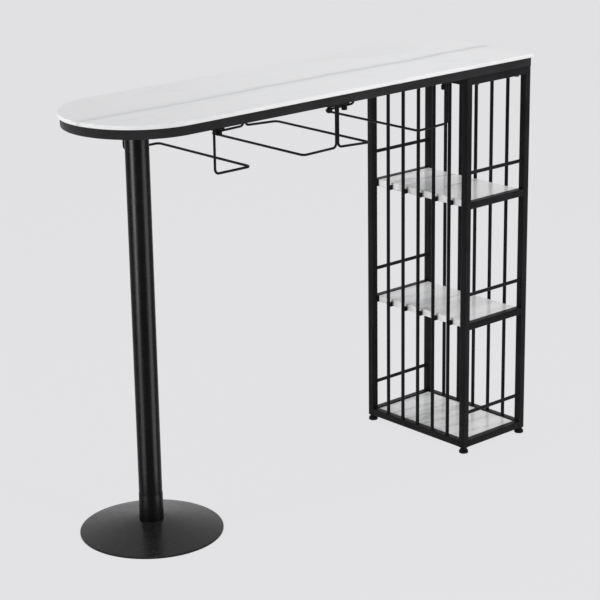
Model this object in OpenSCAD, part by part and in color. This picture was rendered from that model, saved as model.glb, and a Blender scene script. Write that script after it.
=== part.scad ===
// Bar table: a stone top on a rim of flat-sided tube, carried by a round column on a weighted
// base at its round end and by a tower of shelves at its square end. Wire racks hang
// under the rim between them.
// The origin is on the floor under the middle of the top. X runs along the length
// toward the tower, Y toward the back and Z up. All sizes are in millimetres.

/* [Stone top] */
// Length of the top
top_l = 1400; // [1250:10:1700]
// Width of the top, which is also the diameter of its round end
top_w = 400; // [370:2:480]
// Thickness of the top
top_t = 10; // [8:1:25]
// Height of the top's upper face above the floor
table_h = 1106; // [1000:1:1200]
// Polished chamfer round the edges of the top
top_chamfer = 1; // [0.4:0.1:2]

/* [Square tube] */
// Side of the square tube
tube = 20; // [18:0.5:25]
// Wall of the square tube
tube_wall = 1.5; // [1:0.1:2.5]
// Outer corner radius of the square tube
tube_corner = 2; // [1.7:0.1:3]

/* [Rim] */
// How far the top reaches past the rim, all round
rim_inset = 6; // [3:0.5:12]
// Height of the rim's tube, which is as wide as the square tube
rim_h = 25; // [20:0.5:30]

/* [Shelf tower] */
// Outer length of the tower
tower_l = 250; // [220:2:300]
// Height of the tower's lower end above the floor
foot_h = 16; // [16:0.5:22]
// Distance from one shelf's rails to the next
shelf_pitch = 346; // [300:1:360]
// Diameter of the upright bars and of the guard rods
bar_d = 10; // [8:0.5:12]
// Number of upright bars on each side
bar_count = 5; // [3:1:6]
// Height of a guard rod's axis above the shelf rails
guard_h = 80; // [50:1:120]

/* [Shelves] */
// How far the two raised shelves lie below their rails' upper face
shelf_drop = 1; // [0:0.5:2]
// How far the bottom shelf lies below its rails' upper face
bottom_drop = 3; // [2:0.5:4]
// Play between a shelf and the rails round it
shelf_play = 0.5; // [0.2:0.1:0.8]
// Gap between the upright bars' axis and the ends of the raised shelves
shelf_end_gap = 14; // [11:0.5:18]
// Chamfer round the edges of a shelf
shelf_chamfer = 0.6; // [0.3:0.1:1]
// Width of the flat steel bearers under a shelf
bearer_w = 20; // [12:1:30]
// Thickness of the bearers
bearer_t = 3; // [2:0.5:4]
// Distance from a shelf's end to its bearers
bearer_inset = 8; // [4:1:20]
// How far a bearer reaches under the rails
bearer_lap = 10; // [6:1:14]
// Width of the stop lugs on the upright bars
lug_w = 8; // [4:0.5:10]
// Height of the lugs
lug_h = 12; // [8:0.5:16]

/* [Column] */
// Diameter of the column
column_d = 60; // [50:1:76]
// Wall of the column
column_wall = 2; // [1.5:0.5:4]
// Distance from the round end's centre to the column's axis, toward the round end
column_shift = 13; // [0:1:30]
// Side of the square plate on the column's upper end
plate_side = 160; // [150:2:180]
// Thickness of the column plate
plate_t = 5; // [4:0.5:8]
// Distance from the column's axis to the plate's screws, both ways
plate_screw_pitch = 60; // [50:1:65]
// Diameter of the plate screws' shanks
plate_screw_d = 8; // [6:0.5:10]
// Width across the flats of the plate screws' heads
plate_screw_flats = 13; // [11:1:17]
// Height of the plate screws' heads
plate_screw_head = 5.3; // [4:0.1:7]

/* [Foot collar] */
// Height of the collar
collar_h = 70; // [40:1:100]
// Outer diameter of the collar's lower end
collar_low_d = 63; // [62.5:0.5:76]
// Outer diameter of the collar's upper end
collar_top_d = 61.6; // [61.2:0.1:64]
// Height of the collar's straight foot
collar_foot_h = 3; // [1:0.5:6]
// Chamfer of the collar's upper edge
collar_brim = 0.5; // [0.2:0.1:0.6]
// Play between the collar and the column
collar_play = 0.2; // [0.1:0.05:0.4]

/* [Base] */
// Diameter of the base cover
base_d = 370; // [330:2:400]
// Height of the base cover at the column
base_h = 35; // [30:1:45]
// Height of the base cover at its edge
base_edge_h = 6; // [5:0.5:12]
// How far the cover bulges above a straight cone
base_crown = 1; // [0:0.5:3]
// Radius of the flat ring of the cover round the column
base_flat_r = 40; // [39:1:50]
// Thickness of the cover's sheet
cover_t = 1.5; // [1:0.1:2]
// Height of the cover's lower edge above the floor
cover_lift = 1.5; // [1:0.1:2.5]
// Diameter of the weight's boss that carries the column
boss_d = 68; // [64:1:76]
// Gap between the cover and the weight under its slope
weight_gap = 1; // [0.5:0.1:2]
// Thickness of the rubber ring under the weight
ring_t = 3; // [2:0.5:4]
// Width of the rubber ring
ring_w = 24; // [12:1:40]
// Distance from the cover's edge to the rubber ring
ring_inset = 10; // [5:1:20]

/* [Tie rod] */
// Diameter of the rod through the column
rod_d = 12; // [10:1:14]
// Width across the flats of the rod's nuts
nut_flats = 19; // [18:1:22]
// Height of a nut's hexagon
nut_h = 8; // [6:0.5:9]
// Diameter of a nut's flange
nut_flange_d = 26; // [23:0.5:28]
// Thickness of a nut's flange
nut_flange_t = 2.5; // [2:0.5:3]
// How far the rod stands out of its nuts
rod_proud = 3; // [1:0.5:4]
// Height of the nut's recess in the weight
recess_h = 17; // [15:0.5:20]
// Play round the nut in its recess
recess_play = 3; // [2:0.5:6]

/* [Racks] */
// Diameter of the rack wire
wire_d = 6.5; // [6:0.5:9]
// Bend radius of the rack wire at its axis
wire_bend = 12; // [10:0.5:18]
// Distance from the round end's centre to the legs of the left rack
rack_lead = 82; // [60:1:120]
// Distance from the legs of the right rack to the axes of the tower's left posts
rack_tail = 72; // [50:1:100]
// How far a rack reaches sideways from its legs
rack_reach = 111; // [80:1:150]
// How far the racks' runs hang below the rim
rack_drop = 112; // [80:1:180]
// Distance from the rim's inner face out to the axis of a rack's legs
leg_inset = 8; // [6:0.5:10]
// Thickness of the plates that the racks hang from
rack_plate_t = 3; // [2:0.5:5]
// Width of the rack plates
rack_plate_w = 24; // [20:1:30]
// How far a rack plate runs past a leg or a thumb screw
rack_plate_end = 10; // [9:0.5:14]
// Distance from a leg of the two outer racks to its thumb screw
thumb_pitch = 15.5; // [13:0.5:30]
// Distance from a leg of the two middle racks to its thumb screw
thumb_mid_pitch = 22; // [13:0.5:40]
// Diameter of a thumb screw's knob
thumb_d = 15; // [13:1:18]
// Height of a thumb screw's knob
thumb_h = 16; // [10:0.5:20]
// Diameter of a thumb screw's shank
thumb_shank_d = 6; // [5:0.5:8]
// Chamfer of a thumb screw's knob
thumb_chamfer = 1.5; // [0.5:0.5:3]

/* [Tower screws] */
// Diameter of the screws that hold the tower under the rim
tower_screw_d = 8; // [6:0.5:9]
// Diameter of their button heads
tower_head_d = 14; // [12:0.5:16]
// Height of their button heads
tower_head_h = 4; // [3:0.5:5]
// Height of the upright edge of their heads
tower_head_edge = 1; // [0.5:0.1:2]
// Width across the flats of the sockets in their heads
tower_socket = 5; // [3:0.5:5]
// Distance from a post's axis to the next tower screw
tower_screw_inset = 36; // [25:1:60]

/* [Levelling feet] */
// Diameter of the studs
stud_d = 8; // [6:0.5:10]
// Radial play between a stud and its bores
stud_play = 0.05; // [0.02:0.01:0.08]
// Height of the threaded inserts in the posts
insert_h = 30; // [20:1:40]
// How far a stud ends below the upper face of its insert
stud_short = 2; // [1:0.5:6]
// Width across the flats of a stud's hexagon
hex_flats = 17; // [13:0.5:18.5]
// Height of a stud's hexagon
hex_h = 3.3; // [2.5:0.1:3.3]
// Diameter of a pad
pad_d = 26; // [24.5:0.5:30]
// Height of a pad
pad_h = 9.5; // [7.5:0.5:9.5]
// Height of a pad's upright edge
pad_edge_h = 6; // [2:0.5:7]
// Diameter of a pad's upper face
pad_top_d = 22; // [18:0.5:24]
// Thickness of a pad under its stud
pad_floor = 2.5; // [1.5:0.5:3]
// Gap between a stud and the faces of its pad
pad_play = 0.1; // [0.05:0.05:0.3]

/* [Hidden] */

$fn = 96;

// Play of a screw in a plain hole, on the radius
screw_play = 0.2;
// Play of a screw in its thread, on the radius
thread_play = 0.05;
// Gap that a weld fills beside a round bar
weld_gap = 0.1;
// How far a screw runs past the wall that it is threaded in
screw_past = 7;
// How far each rack's loop hangs down from level, in degrees, from left to right
rack_tilts = [0, 1, 3, 2];
// Number of straight steps along the slope of the base cover
slope_steps = 12;
// Extra length that carries a cut clear through its wall
through = 1;

// Levels of the top and the rim
top_z = table_h - top_t;
rim_z = top_z - rim_h;
rail_top_z = rim_z - tube;

// Plan of the rim: its outer half width, its square end and its round end's centre
rim_y = top_w / 2 - rim_inset;
rim_x = top_l / 2 - rim_inset;
bend_x = -top_l / 2 + top_w / 2;

// Axes of the posts and inner faces of the tubes along the length
tube_y = rim_y - tube / 2;
inner_y = rim_y - tube;
right_x = rim_x - tube / 2;
left_x = rim_x - tower_l + tube / 2;

// Column and its base
column_x = bend_x - column_shift;
plate_z = rim_z - plate_t;
column_bar_xs = [column_x - plate_screw_pitch, column_x + plate_screw_pitch];
column_z = base_h - cover_t;
base_r = base_d / 2;

// Racks
rack_z = rim_z - rack_drop;
leg_y = inner_y + leg_inset;
leg_top_z = rim_z - rack_plate_t;
rack_first_x = bend_x + rack_lead;
rack_last_x = left_x - rack_tail;
rack_mid_x = (rack_first_x + rack_last_x) / 2;
twin_shift = (wire_d + weld_gap) / 2;

// Every thumb screw's place along the length
thumb_xs = [rack_first_x + thumb_pitch, rack_mid_x - twin_shift - thumb_mid_pitch,
            rack_mid_x + twin_shift + thumb_mid_pitch, rack_last_x - thumb_pitch];

// Every tower screw's place along the length
tower_screw_xs = [left_x + tower_screw_inset, right_x - tower_screw_inset];

// Upper face of the rails at shelf number i, counted from the bottom shelf
function rail_z(i) = foot_h + tube + i * shelf_pitch;

// Lower face of shelf number i, flush with its rails' lower face
function shelf_z(i) = rail_z(i) - tube;

// Gap between the upright bars' axis and the ends of the bottom shelf
bottom_end_gap = tube / 2 + shelf_play;

// Y of upright bar number i: the bars leave equal gaps between the posts
bar_gap = (2 * inner_y - bar_count * bar_d) / (bar_count + 1);
function bar_y(i) = -inner_y + (i + 1) * bar_gap + (i + 0.5) * bar_d;

// Height of the cover's outer face at a share t of the way from its flat ring to its edge
function cover_z(t) = base_h - (base_h - base_edge_h) * t + 4 * base_crown * t * (1 - t);
function cover_r(t) = base_flat_r + (base_r - base_flat_r) * t;

// Rectangle with rounded corners, centred on the origin
module rounded_rectangle(w, h, corner) {
    square([w - 2 * corner, h], center = true);
    square([w, h - 2 * corner], center = true);
    for (sx = [-1, 1], sy = [-1, 1])
        translate([sx * (w / 2 - corner), sy * (h / 2 - corner)])
            circle(r = corner, $fn = 32);
}

// Section of a tube of height h, which is a square tube unless h says otherwise
module tube_section(h = tube) {
    difference() {
        rounded_rectangle(tube, h, tube_corner);
        rounded_rectangle(tube - 2 * tube_wall, h - 2 * tube_wall, tube_corner - tube_wall);
    }
}

// Tube along X, with its axis at y and its lower face at z
module tube_along_x(from_x, to_x, y, z, h = tube) {
    translate([from_x, y, z + h / 2]) rotate([90, 0, 90])
        linear_extrude(to_x - from_x) tube_section(h);
}

// Tube along Y, with its axis at x and its lower face at z
module tube_along_y(from_y, to_y, x, z, h = tube) {
    translate([x, to_y, z + h / 2]) rotate([90, 0, 0])
        linear_extrude(to_y - from_y) tube_section(h);
}

// Square tube that stands upright
module tube_upright(x, y, from_z, to_z) {
    translate([x, y, from_z]) linear_extrude(to_z - from_z) tube_section();
}

module upright_bore(x, y, from_z, to_z, d) {
    translate([x, y, from_z]) cylinder(d = d, h = to_z - from_z);
}

// Box between two opposite corners, with its upper and lower edges chamfered
module chamfered_box(from, to, chamfer) {
    size = to - from;
    translate(from) intersection() {
        rotate([90, 0, 90]) linear_extrude(size.x) chamfered_section(size.y, size.z, chamfer);
        translate([0, size.y, 0]) rotate([90, 0, 0])
            linear_extrude(size.y) chamfered_section(size.x, size.z, chamfer);
    }
}

module chamfered_section(w, h, chamfer) {
    polygon([[chamfer, 0], [w - chamfer, 0], [w, chamfer], [w, h - chamfer],
             [w - chamfer, h], [chamfer, h], [0, h - chamfer], [0, chamfer]]);
}

// Stone top: a box from the round end's centre to the square end, and a half disc
module top_slab() {
    color("white") {
        difference() {
            chamfered_box([bend_x - top_w / 2, -top_w / 2, top_z],
                          [top_l / 2, top_w / 2, table_h], top_chamfer);
            translate([bend_x - top_w, -top_w, top_z - through])
                cube([top_w, 2 * top_w, top_t + 2 * through]);
        }
        translate([bend_x, 0, top_z]) rotate([0, 0, 90]) rotate_extrude(angle = 180, $fn = 192)
            polygon([[0, 0], [top_w / 2 - top_chamfer, 0], [top_w / 2, top_chamfer],
                     [top_w / 2, top_t - top_chamfer], [top_w / 2 - top_chamfer, top_t],
                     [0, top_t]]);
    }
}

// Long side of the rim at y = side * tube_y, mitred at the square end, with threaded
// holes for the thumb screws and the tower screws
module rim_side(side) {
    color("dimgray") difference() {
        intersection() {
            tube_along_x(bend_x, rim_x, side * tube_y, rim_z, rim_h);
            translate([0, 0, rim_z - through]) linear_extrude(rim_h + 2 * through)
                polygon([[bend_x, 0], [rim_x - rim_y, 0], [rim_x, side * rim_y],
                         [bend_x, side * rim_y]]);
        }
        for (x = thumb_xs)
            upright_bore(x, side * leg_y, rim_z - through, rim_z + tube_wall + through,
                         thumb_shank_d + 2 * thread_play);
        for (x = tower_screw_xs)
            upright_bore(x, side * tube_y, rim_z - through, rim_z + tube_wall + through,
                         tower_screw_d + 2 * thread_play);
    }
}

module rim_front() rim_side(-1);
module rim_back() rim_side(1);

module rim_bend() {
    color("dimgray") translate([bend_x, 0, rim_z + rim_h / 2]) rotate([0, 0, 90])
        rotate_extrude(angle = 180, $fn = 192) translate([tube_y, 0]) tube_section(rim_h);
}

// Square end of the rim, mitred at both corners
module rim_end() {
    color("dimgray") intersection() {
        tube_along_y(-rim_y, rim_y, right_x, rim_z, rim_h);
        translate([0, 0, rim_z - through]) linear_extrude(rim_h + 2 * through)
            polygon([[rim_x - rim_y, 0], [rim_x, -rim_y], [rim_x, rim_y]]);
    }
}

// Cross bar between the long sides of the rim
module cross_bar(x) {
    tube_along_y(-inner_y, inner_y, x, rim_z, rim_h);
}

// Cross bar over the column plate, with threaded holes for the plate screws. Its ends
// follow the rim's round end where they reach it.
module column_bar(x) {
    color("dimgray") intersection() {
        difference() {
            cross_bar(x);
            for (side = [-1, 1])
                upright_bore(x, side * plate_screw_pitch, rim_z - through,
                             rim_z + tube_wall + through, plate_screw_d + 2 * thread_play);
        }
        union() {
            translate([bend_x, 0, rim_z - through])
                cylinder(r = inner_y - weld_gap, h = rim_h + 2 * through, $fn = 192);
            translate([bend_x, -inner_y, rim_z - through])
                cube([top_l, 2 * inner_y, rim_h + 2 * through]);
        }
    }
}

module column_bar_left() column_bar(column_bar_xs[0]);
module column_bar_right() column_bar(column_bar_xs[1]);
module middle_bar() color("dimgray") cross_bar((column_bar_xs[1] + left_x) / 2);
module tower_bar() color("dimgray") cross_bar(left_x);

module column_plate() {
    color("dimgray") difference() {
        translate([column_x - plate_side / 2, -plate_side / 2, plate_z])
            cube([plate_side, plate_side, plate_t]);
        upright_bore(column_x, 0, plate_z - through, rim_z + through, rod_d + 2 * screw_play);
        for (sx = [-1, 1], sy = [-1, 1])
            upright_bore(column_x + sx * plate_screw_pitch, sy * plate_screw_pitch,
                         plate_z - through, rim_z + through, plate_screw_d + 2 * screw_play);
    }
}

// Hexagon screws from below, through the column plate into the column's cross bars
module plate_screws() {
    color("darkgray") for (sx = [-1, 1], sy = [-1, 1])
        translate([column_x + sx * plate_screw_pitch, sy * plate_screw_pitch, plate_z]) {
            translate([0, 0, -plate_screw_head])
                cylinder(d = plate_screw_flats / cos(30), h = plate_screw_head, $fn = 6);
            cylinder(d = plate_screw_d, h = plate_t + tube_wall + screw_past);
        }
}

module column_tube() {
    color("black") translate([column_x, 0, column_z]) difference() {
        cylinder(d = column_d, h = plate_z - column_z);
        translate([0, 0, -through])
            cylinder(d = column_d - 2 * column_wall, h = plate_z - column_z + 2 * through);
    }
}

// Tapered sleeve round the column's lower end, with a straight foot and a rounded brim
module foot_collar() {
    bore_r = column_d / 2 + collar_play;
    color("black") translate([column_x, 0, base_h]) rotate_extrude()
        polygon([[bore_r, 0], [collar_low_d / 2, 0], [collar_low_d / 2, collar_foot_h],
                 [collar_top_d / 2, collar_h - collar_brim],
                 [collar_top_d / 2 - collar_brim, collar_h],
                 [bore_r, collar_h]]);
}

// Spun steel cover: a flat ring round the column, a slope with a slight crown and an
// upright lip at the edge
module base_cover() {
    hole_r = column_d / 2 + collar_play;
    slope = [for (i = [0 : slope_steps]) i / slope_steps];
    lip_t = 1 - cover_t / (base_r - base_flat_r);
    color("dimgray") translate([column_x, 0, 0]) rotate_extrude($fn = 192)
        polygon(concat([[hole_r, base_h]],
                       [for (t = slope) [cover_r(t), cover_z(t)]],
                       [[base_r, cover_lift], [base_r - cover_t, cover_lift]],
                       [for (i = [slope_steps : -1 : 0])
                           [cover_r(lip_t * i / slope_steps),
                            cover_z(lip_t * i / slope_steps) - cover_t]],
                       [[hole_r, base_h - cover_t]]));
}

// Cast iron weight under the cover, with a boss that carries the column, a bore for the
// tie rod and a recess for its lower nut
module base_weight() {
    edge_t = 1 - (cover_t + weight_gap) / (base_r - base_flat_r);
    recess_r = nut_flange_d / 2 + recess_play;
    color("gray") translate([column_x, 0, 0]) rotate_extrude($fn = 192)
        polygon(concat([[recess_r, ring_t], [recess_r, ring_t + recess_h],
                        [rod_d / 2 + screw_play, ring_t + recess_h],
                        [rod_d / 2 + screw_play, column_z], [boss_d / 2, column_z],
                        [boss_d / 2, column_z - weight_gap]],
                       [for (i = [0 : slope_steps])
                           [cover_r(edge_t * i / slope_steps),
                            cover_z(edge_t * i / slope_steps) - cover_t - weight_gap]],
                       [[cover_r(edge_t), ring_t]]));
}

module base_ring() {
    color("black") translate([column_x, 0, 0]) difference() {
        cylinder(r = base_r - ring_inset, h = ring_t, $fn = 192);
        translate([0, 0, -through])
            cylinder(r = base_r - ring_inset - ring_w, h = ring_t + 2 * through, $fn = 192);
    }
}

// Rod that clamps the base weight, the column and the column plate together
recess_top_z = ring_t + recess_h;
nut_total_h = nut_flange_t + nut_h;

module tie_rod() {
    from_z = recess_top_z - nut_total_h - rod_proud;
    to_z = rim_z + nut_total_h + rod_proud;
    color("silver") translate([column_x, 0, from_z]) cylinder(d = rod_d, h = to_z - from_z);
}

// Flange nut that stands on z = 0 with its flange down
module flange_nut() {
    difference() {
        union() {
            cylinder(d = nut_flange_d, h = nut_flange_t);
            translate([0, 0, nut_flange_t]) cylinder(d = nut_flats / cos(30), h = nut_h, $fn = 6);
        }
        translate([0, 0, -through])
            cylinder(d = rod_d + 2 * thread_play, h = nut_total_h + 2 * through);
    }
}

module tie_nuts() {
    color("silver") {
        translate([column_x, 0, rim_z]) flange_nut();
        translate([column_x, 0, recess_top_z]) rotate([180, 0, 0]) flange_nut();
    }
}

module post(x, y) {
    color("dimgray") tube_upright(x, y, foot_h, rim_z);
}

module post_front_left() post(left_x, -tube_y);
module post_front_right() post(right_x, -tube_y);
module post_back_left() post(left_x, tube_y);
module post_back_right() post(right_x, tube_y);

// Rail between two posts at the front or the back
module long_rail(side, top_z) {
    color("dimgray") tube_along_x(left_x + tube / 2, right_x - tube / 2,
                                  side * tube_y, top_z - tube);
}

// Rail between two posts at the left or the right
module end_rail(x, top_z) {
    color("dimgray") tube_along_y(-inner_y, inner_y, x, top_z - tube);
}

// Top rail at the front or the back, drilled for the tower screws
module drilled_rail(side) {
    difference() {
        long_rail(side, rim_z);
        for (x = tower_screw_xs)
            upright_bore(x, side * tube_y, rail_top_z - through, rim_z + through,
                         tower_screw_d + 2 * screw_play);
    }
}

module bottom_rail_front() long_rail(-1, rail_z(0));
module bottom_rail_back() long_rail(1, rail_z(0));
module bottom_rail_left() end_rail(left_x, rail_z(0));
module bottom_rail_right() end_rail(right_x, rail_z(0));
module lower_rail_front() long_rail(-1, rail_z(1));
module lower_rail_back() long_rail(1, rail_z(1));
module upper_rail_front() long_rail(-1, rail_z(2));
module upper_rail_back() long_rail(1, rail_z(2));
module top_rail_front() drilled_rail(-1);
module top_rail_back() drilled_rail(1);
module top_rail_left() end_rail(left_x, rim_z);
module top_rail_right() end_rail(right_x, rim_z);

// Row of upright bars from the bottom rail to the top rail
module bar_row(x) {
    color("dimgray") for (i = [0 : bar_count - 1])
        translate([x, bar_y(i), rail_z(0)]) cylinder(d = bar_d, h = rail_top_z - rail_z(0));
}

module bars_left() bar_row(left_x);
module bars_right() bar_row(right_x);

// Guard rods between two posts, one above each shelf
module guard_rods(side) {
    from_x = left_x + tube / 2;
    color("dimgray") for (i = [0 : 2])
        translate([from_x, side * tube_y, rail_z(i) + guard_h]) rotate([0, 90, 0])
            cylinder(d = bar_d, h = right_x - tube / 2 - from_x);
}

module guard_rods_front() guard_rods(-1);
module guard_rods_back() guard_rods(1);

// Shelf number i, drop below its rails' upper face, with ends at end_gap from the bars' axes
module shelf(i, drop, end_gap) {
    side_y = inner_y - shelf_play;
    color("white") chamfered_box([left_x + end_gap, -side_y, shelf_z(i)],
                                 [right_x - end_gap, side_y, rail_z(i) - drop], shelf_chamfer);
}

module bottom_shelf() shelf(0, bottom_drop, bottom_end_gap);
module lower_shelf() shelf(1, shelf_drop, shelf_end_gap);
module upper_shelf() shelf(2, shelf_drop, shelf_end_gap);

// Two flat bearers under shelf number i and its two long rails
module bearer_pair(i, end_gap) {
    inset = end_gap + bearer_inset;
    reach_y = inner_y + bearer_lap;
    for (x = [left_x + inset, right_x - inset - bearer_w])
        translate([x, -reach_y, shelf_z(i) - bearer_t]) cube([bearer_w, 2 * reach_y, bearer_t]);
}

module shelf_bearers() {
    color("dimgray") {
        bearer_pair(0, bottom_end_gap);
        bearer_pair(1, shelf_end_gap);
        bearer_pair(2, shelf_end_gap);
    }
}

// Lug from an upright bar at the origin: a stop beside the shelf's end
module lug() {
    difference() {
        translate([0, -lug_w / 2, 0]) cube([shelf_end_gap - shelf_play, lug_w, lug_h]);
        translate([0, 0, -through]) cylinder(d = bar_d + 2 * weld_gap, h = lug_h + 2 * through);
    }
}

module shelf_lugs() {
    color("dimgray") for (i = [0 : bar_count - 1], level = [1, 2]) {
        translate([left_x, bar_y(i), shelf_z(level)]) lug();
        translate([right_x, bar_y(i), shelf_z(level)]) rotate([0, 0, 180]) lug();
    }
}

// Outer half of a rack: from the bends at its two reaches to the run across the table,
// with the legs' axes at x = 0 and the run's axis at z = 0
module rack_run() {
    run_y = leg_y - wire_bend;
    for (side = [0, 1]) mirror([0, side, 0])
        translate([rack_reach - wire_bend, run_y, 0])
            rotate_extrude(angle = 90) translate([wire_bend, 0]) circle(d = wire_d, $fn = 48);
    translate([rack_reach, -run_y, 0]) rotate([-90, 0, 0])
        cylinder(d = wire_d, h = 2 * run_y, $fn = 48);
}

// Rack with its legs' axes at x = 0: each leg bends into its reach, and the loop of the
// reaches and the run hangs down from level by tilt
module rack(tilt) {
    leg_h = leg_top_z - rack_z;
    for (side = [-1, 1]) translate([0, side * leg_y, 0]) {
        translate([0, 0, wire_bend]) cylinder(d = wire_d, h = leg_h - wire_bend, $fn = 48);
        translate([wire_bend, 0, wire_bend]) rotate([90, 0, 0]) rotate([0, 0, 180])
            rotate_extrude(angle = 90 - tilt) translate([wire_bend, 0])
                circle(d = wire_d, $fn = 48);
    }
    translate([wire_bend, 0, wire_bend]) rotate([0, tilt, 0])
        translate([-wire_bend, 0, -wire_bend]) {
            for (side = [-1, 1]) translate([wire_bend, side * leg_y, 0]) rotate([0, 90, 0])
                cylinder(d = wire_d, h = rack_reach - 2 * wire_bend, $fn = 48);
            rack_run();
        }
}

// Rack whose legs stand at x and whose loop reaches toward the tower or the column
module rack_to_tower(x, tilt) color("dimgray") translate([x, 0, rack_z]) rack(tilt);
module rack_to_column(x, tilt) {
    color("dimgray") translate([x, 0, rack_z]) mirror([1, 0, 0]) rack(tilt);
}

module rack_left() rack_to_tower(rack_first_x, rack_tilts[0]);
module rack_middle_left() rack_to_column(rack_mid_x - twin_shift, rack_tilts[1]);
module rack_middle_right() rack_to_tower(rack_mid_x + twin_shift, rack_tilts[2]);
module rack_right() rack_to_column(rack_last_x, rack_tilts[3]);

// Plate under the rim, from from_x to to_x past its leg and its screws, at one side
module rack_plate(from_x, to_x, screws, side) {
    difference() {
        translate([from_x - rack_plate_end, side > 0 ? rim_y - rack_plate_w : -rim_y, leg_top_z])
            cube([to_x - from_x + 2 * rack_plate_end, rack_plate_w, rack_plate_t]);
        for (x = screws)
            upright_bore(x, side * leg_y, leg_top_z - through, rim_z + through,
                         thumb_shank_d + 2 * screw_play);
    }
}

module rack_plates() {
    color("dimgray") for (side = [-1, 1]) {
        rack_plate(rack_first_x, thumb_xs[0], [thumb_xs[0]], side);
        rack_plate(thumb_xs[1], thumb_xs[2], [thumb_xs[1], thumb_xs[2]], side);
        rack_plate(thumb_xs[3], rack_last_x, [thumb_xs[3]], side);
    }
}

// Thumb screws that clamp the rack plates up against the rim
module thumb_screws() {
    color("black") for (x = thumb_xs, side = [-1, 1])
        translate([x, side * leg_y, leg_top_z]) {
            translate([0, 0, -thumb_h]) rotate_extrude()
                polygon([[0, 0], [thumb_d / 2 - thumb_chamfer, 0], [thumb_d / 2, thumb_chamfer],
                         [thumb_d / 2, thumb_h - thumb_chamfer],
                         [thumb_d / 2 - thumb_chamfer, thumb_h], [0, thumb_h]]);
            cylinder(d = thumb_shank_d, h = rack_plate_t + tube_wall + screw_past);
        }
}

// Button head screws from below, through the tower's top rails into the rim
module tower_screws() {
    color("black") for (x = tower_screw_xs, side = [-1, 1])
        translate([x, side * tube_y, rail_top_z]) difference() {
            union() {
                translate([0, 0, -tower_head_h]) rotate_extrude()
                    polygon([[0, 0], [tower_head_d / 2 - tower_head_h + tower_head_edge, 0],
                             [tower_head_d / 2, tower_head_h - tower_head_edge],
                             [tower_head_d / 2, tower_head_h], [0, tower_head_h]]);
                cylinder(d = tower_screw_d, h = tube + tube_wall + screw_past);
            }
            translate([0, 0, -tower_head_h - through])
                cylinder(d = tower_socket / cos(30), h = through + tower_head_h / 2, $fn = 6);
        }
}

// Threaded plugs in the lower ends of the posts
module post_inserts() {
    side = tube - 2 * tube_wall;
    color("black") for (x = [left_x, right_x], y = [-tube_y, tube_y])
        translate([x, y, foot_h]) difference() {
            linear_extrude(insert_h) rounded_rectangle(side, side, tube_corner - tube_wall);
            translate([0, 0, -through])
                cylinder(d = stud_d + 2 * stud_play, h = insert_h + 2 * through);
        }
}

// Levelling stud: its hexagon stands just above the pad, its lower end in the pad's bore
module stud(x, y) {
    end_z = pad_floor + pad_play;
    color("silver") translate([x, y, 0]) {
        translate([0, 0, end_z])
            cylinder(d = stud_d, h = foot_h + insert_h - stud_short - end_z);
        translate([0, 0, pad_h + pad_play]) cylinder(d = hex_flats / cos(30), h = hex_h, $fn = 6);
    }
}

module stud_front_left() stud(left_x, -tube_y);
module stud_front_right() stud(right_x, -tube_y);
module stud_back_left() stud(left_x, tube_y);
module stud_back_right() stud(right_x, tube_y);

// Swivelling pad with a blind bore for the stud
module pad(x, y) {
    color("black") translate([x, y, 0]) difference() {
        rotate_extrude()
            polygon([[0, 0], [pad_d / 2, 0], [pad_d / 2, pad_edge_h], [pad_top_d / 2, pad_h],
                     [0, pad_h]]);
        translate([0, 0, pad_floor])
            cylinder(d = stud_d + 2 * stud_play, h = pad_h - pad_floor + through);
    }
}

module pad_front_left() pad(left_x, -tube_y);
module pad_front_right() pad(right_x, -tube_y);
module pad_back_left() pad(left_x, tube_y);
module pad_back_right() pad(right_x, tube_y);

top_slab();
rim_front();
rim_back();
rim_bend();
rim_end();
column_bar_left();
column_bar_right();
middle_bar();
tower_bar();
column_plate();
plate_screws();
column_tube();
foot_collar();
base_cover();
base_weight();
base_ring();
tie_rod();
tie_nuts();
post_front_left();
post_front_right();
post_back_left();
post_back_right();
bottom_rail_front();
bottom_rail_back();
bottom_rail_left();
bottom_rail_right();
lower_rail_front();
lower_rail_back();
upper_rail_front();
upper_rail_back();
top_rail_front();
top_rail_back();
top_rail_left();
top_rail_right();
bars_left();
bars_right();
guard_rods_front();
guard_rods_back();
bottom_shelf();
lower_shelf();
upper_shelf();
shelf_bearers();
shelf_lugs();
rack_left();
rack_middle_left();
rack_middle_right();
rack_right();
rack_plates();
thumb_screws();
tower_screws();
post_inserts();
stud_front_left();
stud_front_right();
stud_back_left();
stud_back_right();
pad_front_left();
pad_front_right();
pad_back_left();
pad_back_right();
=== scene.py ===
import math

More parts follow.
